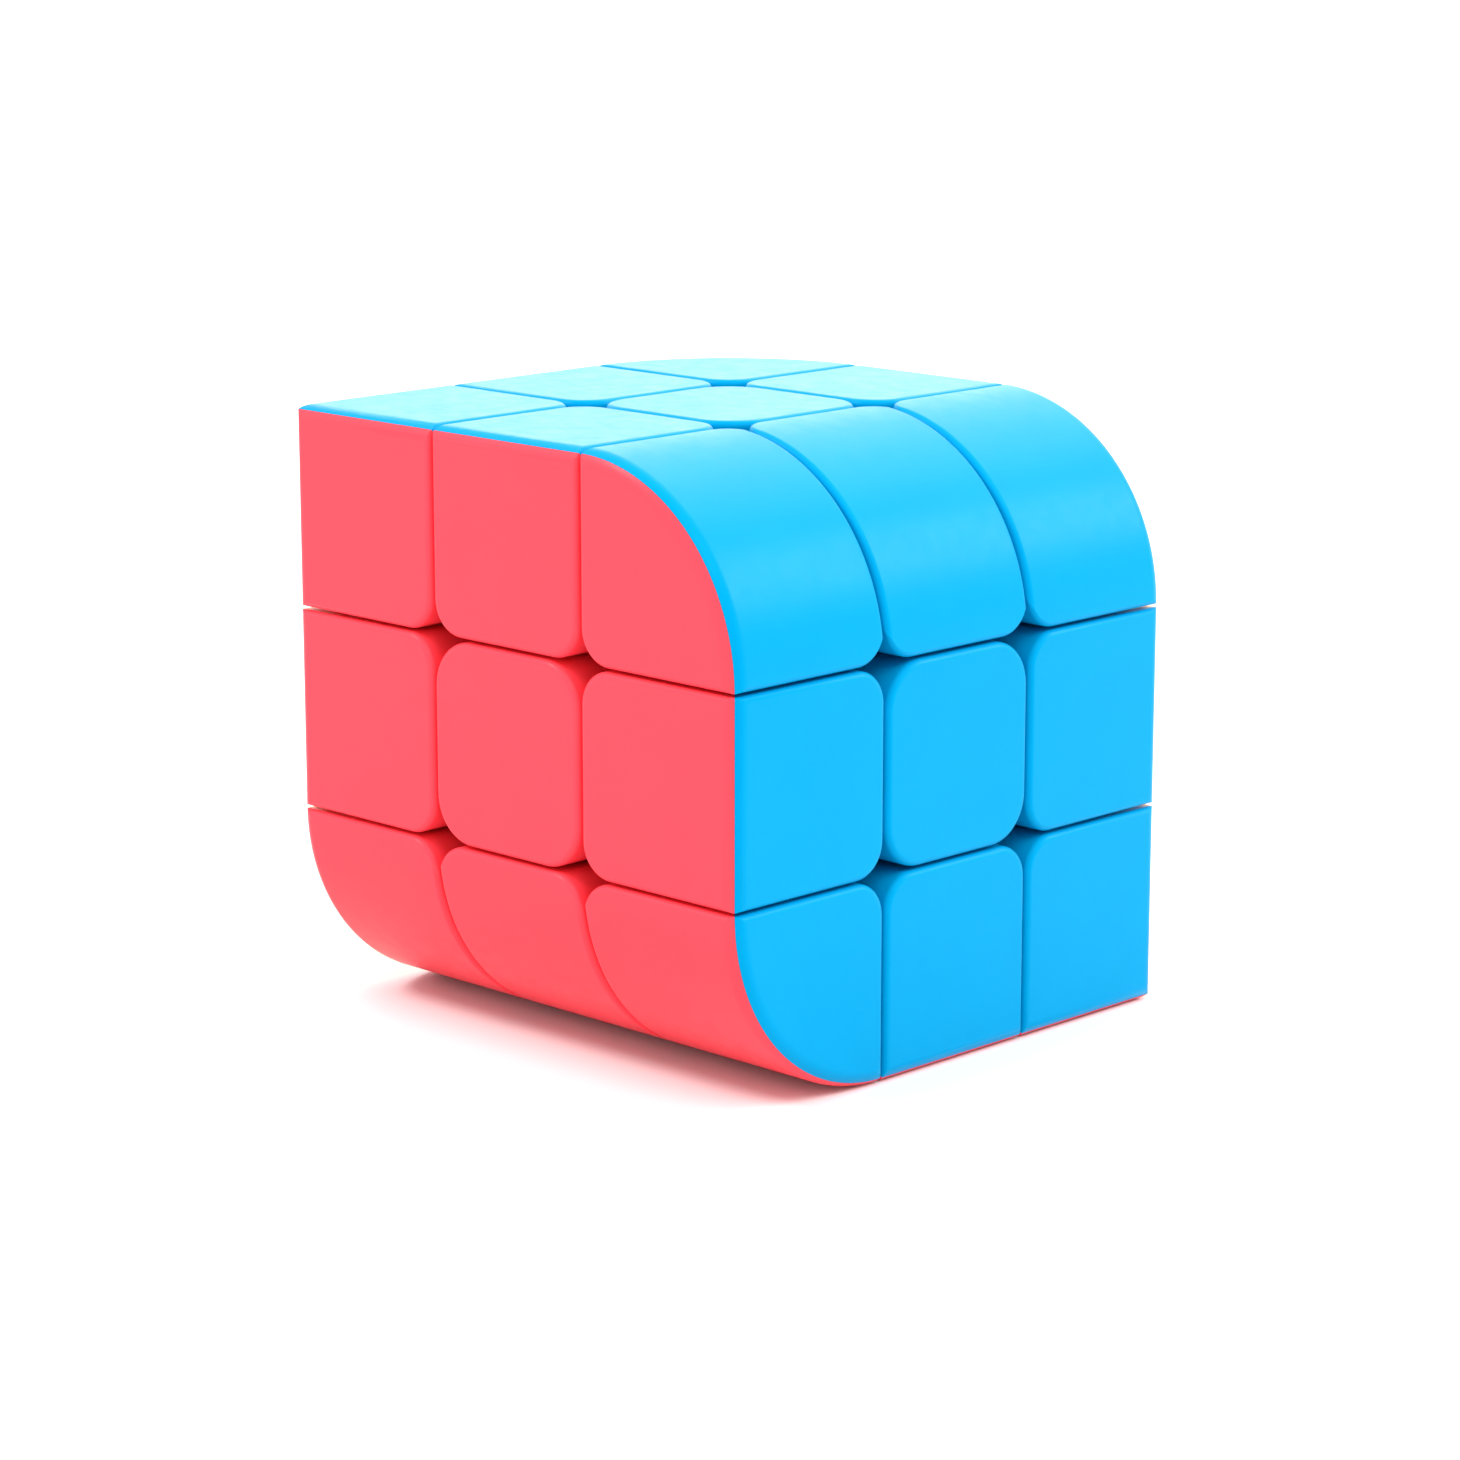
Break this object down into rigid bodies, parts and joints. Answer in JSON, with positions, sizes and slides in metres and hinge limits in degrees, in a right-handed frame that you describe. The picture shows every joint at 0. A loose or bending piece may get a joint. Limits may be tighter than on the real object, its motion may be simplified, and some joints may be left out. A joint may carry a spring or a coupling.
{
  "type": "twisty puzzle",
  "caption": "Cube-shaped twisty puzzle with rounded edges that never meet, so that each colour wraps round two faces; its layers turn about a hidden sprung core.",
  "frame": {"origin": "centre of the core, where the six turning axes cross; it is also the centre of the outer box", "axes": "+Z out through the blue top face, +X out through the blue right face, -Y out through the red front face; the top and right faces are joined by a rounded edge along Y"},
  "size_m": [0.056, 0.056, 0.056],
  "materials": {
    "blue_plastic": "satin",
    "red_plastic": "satin",
    "yellow_plastic": "satin",
    "core_plastic": "moulded",
    "screw_steel": "zinc plated",
    "spring_steel": "drawn wire"
  },
  "bodies": {
    "core": {"core": "core_plastic", "screw_right": "screw_steel", "screw_left": "screw_steel", "screw_back": "screw_steel", "screw_front": "screw_steel", "screw_top": "screw_steel", "screw_bottom": "screw_steel"},
    "right_layer": {"spring_right": "spring_steel"},
    "centre_right": {"centre_right_base": "blue_plastic", "centre_right_cap": "blue_plastic"},
    "left_layer": {"spring_left": "spring_steel"},
    "centre_left": {"centre_left_base": "yellow_plastic", "centre_left_cap": "yellow_plastic"},
    "back_layer": {"spring_back": "spring_steel"},
    "centre_back": {"centre_back_base": "yellow_plastic", "centre_back_cap": "yellow_plastic"},
    "front_layer": {"spring_front": "spring_steel"},
    "centre_front": {"centre_front_base": "red_plastic", "centre_front_cap": "red_plastic"},
    "top_layer": {"spring_top": "spring_steel"},
    "centre_top": {"centre_top_base": "blue_plastic", "centre_top_cap": "blue_plastic"},
    "bottom_layer": {"spring_bottom": "spring_steel"},
    "centre_bottom": {"centre_bottom_base": "red_plastic", "centre_bottom_cap": "red_plastic"},
    "edge_back_right": {"edge_back_right_blue_half": "blue_plastic", "edge_back_right_yellow_half": "yellow_plastic"},
    "edge_front_right": {"edge_front_right_blue_half": "blue_plastic", "edge_front_right_red_half": "red_plastic"},
    "edge_top_right": {"edge_top_right": "blue_plastic"},
    "edge_bottom_right": {"edge_bottom_right_blue_half": "blue_plastic", "edge_bottom_right_red_half": "red_plastic"},
    "edge_back_left": {"edge_back_left": "yellow_plastic"},
    "edge_front_left": {"edge_front_left_red_half": "red_plastic", "edge_front_left_yellow_half": "yellow_plastic"},
    "edge_top_left": {"edge_top_left_blue_half": "blue_plastic", "edge_top_left_yellow_half": "yellow_plastic"},
    "edge_bottom_left": {"edge_bottom_left_red_half": "red_plastic", "edge_bottom_left_yellow_half": "yellow_plastic"},
    "edge_top_back": {"edge_top_back_blue_half": "blue_plastic", "edge_top_back_yellow_half": "yellow_plastic"},
    "edge_bottom_back": {"edge_bottom_back_red_half": "red_plastic", "edge_bottom_back_yellow_half": "yellow_plastic"},
    "edge_top_front": {"edge_top_front_blue_half": "blue_plastic", "edge_top_front_red_half": "red_plastic"},
    "edge_bottom_front": {"edge_bottom_front": "red_plastic"},
    "corner_top_back_right": {"corner_top_back_right_blue_shell": "blue_plastic", "corner_top_back_right_yellow_cap": "yellow_plastic"},
    "corner_bottom_back_right": {"corner_bottom_back_right": "yellow_plastic"},
    "corner_top_front_right": {"corner_top_front_right_blue_shell": "blue_plastic", "corner_top_front_right_red_cap": "red_plastic"},
    "corner_bottom_front_right": {"corner_bottom_front_right_blue_cap": "blue_plastic", "corner_bottom_front_right_red_shell": "red_plastic"},
    "corner_top_back_left": {"corner_top_back_left_blue_cap": "blue_plastic", "corner_top_back_left_yellow_shell": "yellow_plastic"},
    "corner_bottom_back_left": {"corner_bottom_back_left_red_cap": "red_plastic", "corner_bottom_back_left_yellow_shell": "yellow_plastic"},
    "corner_top_front_left": {"corner_top_front_left": "red_plastic"},
    "corner_bottom_front_left": {"corner_bottom_front_left_red_shell": "red_plastic", "corner_bottom_front_left_yellow_cap": "yellow_plastic"}
  },
  "joints": [
    {"name": "right_turn", "type": "hinge", "parent": "core", "child": "right_layer", "pos_m": [0, 0, 0], "axis": [1, 0, 0], "continuous": true},
    {"name": "right_centre_lift", "type": "slide", "parent": "right_layer", "child": "centre_right", "axis": [1, 0, 0], "range_m": [0, 0.0004], "stiffness_N_per_m": 500, "springref_m": -0.0005, "deforming": ["spring_right"]},
    {"name": "left_turn", "type": "hinge", "parent": "core", "child": "left_layer", "pos_m": [0, 0, 0], "axis": [-1, 0, 0], "continuous": true},
    {"name": "left_centre_lift", "type": "slide", "parent": "left_layer", "child": "centre_left", "axis": [-1, 0, 0], "range_m": [0, 0.0004], "stiffness_N_per_m": 500, "springref_m": -0.0005, "deforming": ["spring_left"]},
    {"name": "back_turn", "type": "hinge", "parent": "core", "child": "back_layer", "pos_m": [0, 0, 0], "axis": [0, 1, 0], "continuous": true},
    {"name": "back_centre_lift", "type": "slide", "parent": "back_layer", "child": "centre_back", "axis": [0, 1, 0], "range_m": [0, 0.0004], "stiffness_N_per_m": 500, "springref_m": -0.0005, "deforming": ["spring_back"]},
    {"name": "front_turn", "type": "hinge", "parent": "core", "child": "front_layer", "pos_m": [0, 0, 0], "axis": [0, -1, 0], "continuous": true},
    {"name": "front_centre_lift", "type": "slide", "parent": "front_layer", "child": "centre_front", "axis": [0, -1, 0], "range_m": [0, 0.0004], "stiffness_N_per_m": 500, "springref_m": -0.0005, "deforming": ["spring_front"]},
    {"name": "top_turn", "type": "hinge", "parent": "core", "child": "top_layer", "pos_m": [0, 0, 0], "axis": [0, 0, 1], "continuous": true},
    {"name": "top_centre_lift", "type": "slide", "parent": "top_layer", "child": "centre_top", "axis": [0, 0, 1], "range_m": [0, 0.0004], "stiffness_N_per_m": 500, "springref_m": -0.0005, "deforming": ["spring_top"]},
    {"name": "bottom_turn", "type": "hinge", "parent": "core", "child": "bottom_layer", "pos_m": [0, 0, 0], "axis": [0, 0, -1], "continuous": true},
    {"name": "bottom_centre_lift", "type": "slide", "parent": "bottom_layer", "child": "centre_bottom", "axis": [0, 0, -1], "range_m": [0, 0.0004], "stiffness_N_per_m": 500, "springref_m": -0.0005, "deforming": ["spring_bottom"]},
    {"name": "edge_back_right_with_back", "type": "hinge", "parent": "right_layer", "child": "edge_back_right", "pos_m": [0, 0, 0], "axis": [0, 1, 0], "continuous": true},
    {"name": "edge_front_right_with_front", "type": "hinge", "parent": "right_layer", "child": "edge_front_right", "pos_m": [0, 0, 0], "axis": [0, -1, 0], "continuous": true},
    {"name": "edge_top_right_with_right", "type": "hinge", "parent": "top_layer", "child": "edge_top_right", "pos_m": [0, 0, 0], "axis": [1, 0, 0], "continuous": true},
    {"name": "edge_bottom_right_with_right", "type": "hinge", "parent": "bottom_layer", "child": "edge_bottom_right", "pos_m": [0, 0, 0], "axis": [1, 0, 0], "continuous": true},
    {"name": "edge_back_left_with_back", "type": "hinge", "parent": "left_layer", "child": "edge_back_left", "pos_m": [0, 0, 0], "axis": [0, 1, 0], "continuous": true},
    {"name": "edge_front_left_with_front", "type": "hinge", "parent": "left_layer", "child": "edge_front_left", "pos_m": [0, 0, 0], "axis": [0, -1, 0], "continuous": true},
    {"name": "edge_top_left_with_left", "type": "hinge", "parent": "top_layer", "child": "edge_top_left", "pos_m": [0, 0, 0], "axis": [-1, 0, 0], "continuous": true},
    {"name": "edge_bottom_left_with_left", "type": "hinge", "parent": "bottom_layer", "child": "edge_bottom_left", "pos_m": [0, 0, 0], "axis": [-1, 0, 0], "continuous": true},
    {"name": "edge_top_back_with_top", "type": "hinge", "parent": "back_layer", "child": "edge_top_back", "pos_m": [0, 0, 0], "axis": [0, 0, 1], "continuous": true},
    {"name": "edge_bottom_back_with_bottom", "type": "hinge", "parent": "back_layer", "child": "edge_bottom_back", "pos_m": [0, 0, 0], "axis": [0, 0, -1], "continuous": true},
    {"name": "edge_top_front_with_top", "type": "hinge", "parent": "front_layer", "child": "edge_top_front", "pos_m": [0, 0, 0], "axis": [0, 0, 1], "continuous": true},
    {"name": "edge_bottom_front_with_bottom", "type": "hinge", "parent": "front_layer", "child": "edge_bottom_front", "pos_m": [0, 0, 0], "axis": [0, 0, -1], "continuous": true},
    {"name": "corner_top_back_right_with_top", "type": "hinge", "parent": "edge_back_right", "child": "corner_top_back_right", "pos_m": [0, 0, 0], "axis": [0, 0, 1], "continuous": true},
    {"name": "corner_bottom_back_right_with_bottom", "type": "hinge", "parent": "edge_back_right", "child": "corner_bottom_back_right", "pos_m": [0, 0, 0], "axis": [0, 0, -1], "continuous": true},
    {"name": "corner_top_front_right_with_front", "type": "hinge", "parent": "edge_top_right", "child": "corner_top_front_right", "pos_m": [0, 0, 0], "axis": [0, -1, 0], "continuous": true},
    {"name": "corner_bottom_front_right_with_bottom", "type": "hinge", "parent": "edge_front_right", "child": "corner_bottom_front_right", "pos_m": [0, 0, 0], "axis": [0, 0, -1], "continuous": true},
    {"name": "corner_top_back_left_with_top", "type": "hinge", "parent": "edge_back_left", "child": "corner_top_back_left", "pos_m": [0, 0, 0], "axis": [0, 0, 1], "continuous": true},
    {"name": "corner_bottom_back_left_with_left", "type": "hinge", "parent": "edge_bottom_back", "child": "corner_bottom_back_left", "pos_m": [0, 0, 0], "axis": [-1, 0, 0], "continuous": true},
    {"name": "corner_top_front_left_with_left", "type": "hinge", "parent": "edge_top_front", "child": "corner_top_front_left", "pos_m": [0, 0, 0], "axis": [-1, 0, 0], "continuous": true},
    {"name": "corner_bottom_front_left_with_front", "type": "hinge", "parent": "edge_bottom_left", "child": "corner_bottom_front_left", "pos_m": [0, 0, 0], "axis": [0, -1, 0], "continuous": true}
  ],
  "couplings": [
    {"joint": "edge_back_right_with_back", "follows": "back_turn", "ratio": 1},
    {"joint": "edge_front_right_with_front", "follows": "front_turn", "ratio": 1},
    {"joint": "edge_top_right_with_right", "follows": "right_turn", "ratio": 1},
    {"joint": "edge_bottom_right_with_right", "follows": "right_turn", "ratio": 1},
    {"joint": "edge_back_left_with_back", "follows": "back_turn", "ratio": 1},
    {"joint": "edge_front_left_with_front", "follows": "front_turn", "ratio": 1},
    {"joint": "edge_top_left_with_left", "follows": "left_turn", "ratio": 1},
    {"joint": "edge_bottom_left_with_left", "follows": "left_turn", "ratio": 1},
    {"joint": "edge_top_back_with_top", "follows": "top_turn", "ratio": 1},
    {"joint": "edge_bottom_back_with_bottom", "follows": "bottom_turn", "ratio": 1},
    {"joint": "edge_top_front_with_top", "follows": "top_turn", "ratio": 1},
    {"joint": "edge_bottom_front_with_bottom", "follows": "bottom_turn", "ratio": 1},
    {"joint": "corner_top_back_right_with_top", "follows": "top_turn", "ratio": 1},
    {"joint": "corner_bottom_back_right_with_bottom", "follows": "bottom_turn", "ratio": 1},
    {"joint": "corner_top_front_right_with_front", "follows": "front_turn", "ratio": 1},
    {"joint": "corner_bottom_front_right_with_bottom", "follows": "bottom_turn", "ratio": 1},
    {"joint": "corner_top_back_left_with_top", "follows": "top_turn", "ratio": 1},
    {"joint": "corner_bottom_back_left_with_left", "follows": "left_turn", "ratio": 1},
    {"joint": "corner_top_front_left_with_left", "follows": "left_turn", "ratio": 1},
    {"joint": "corner_bottom_front_left_with_front", "follows": "front_turn", "ratio": 1}
  ]
}
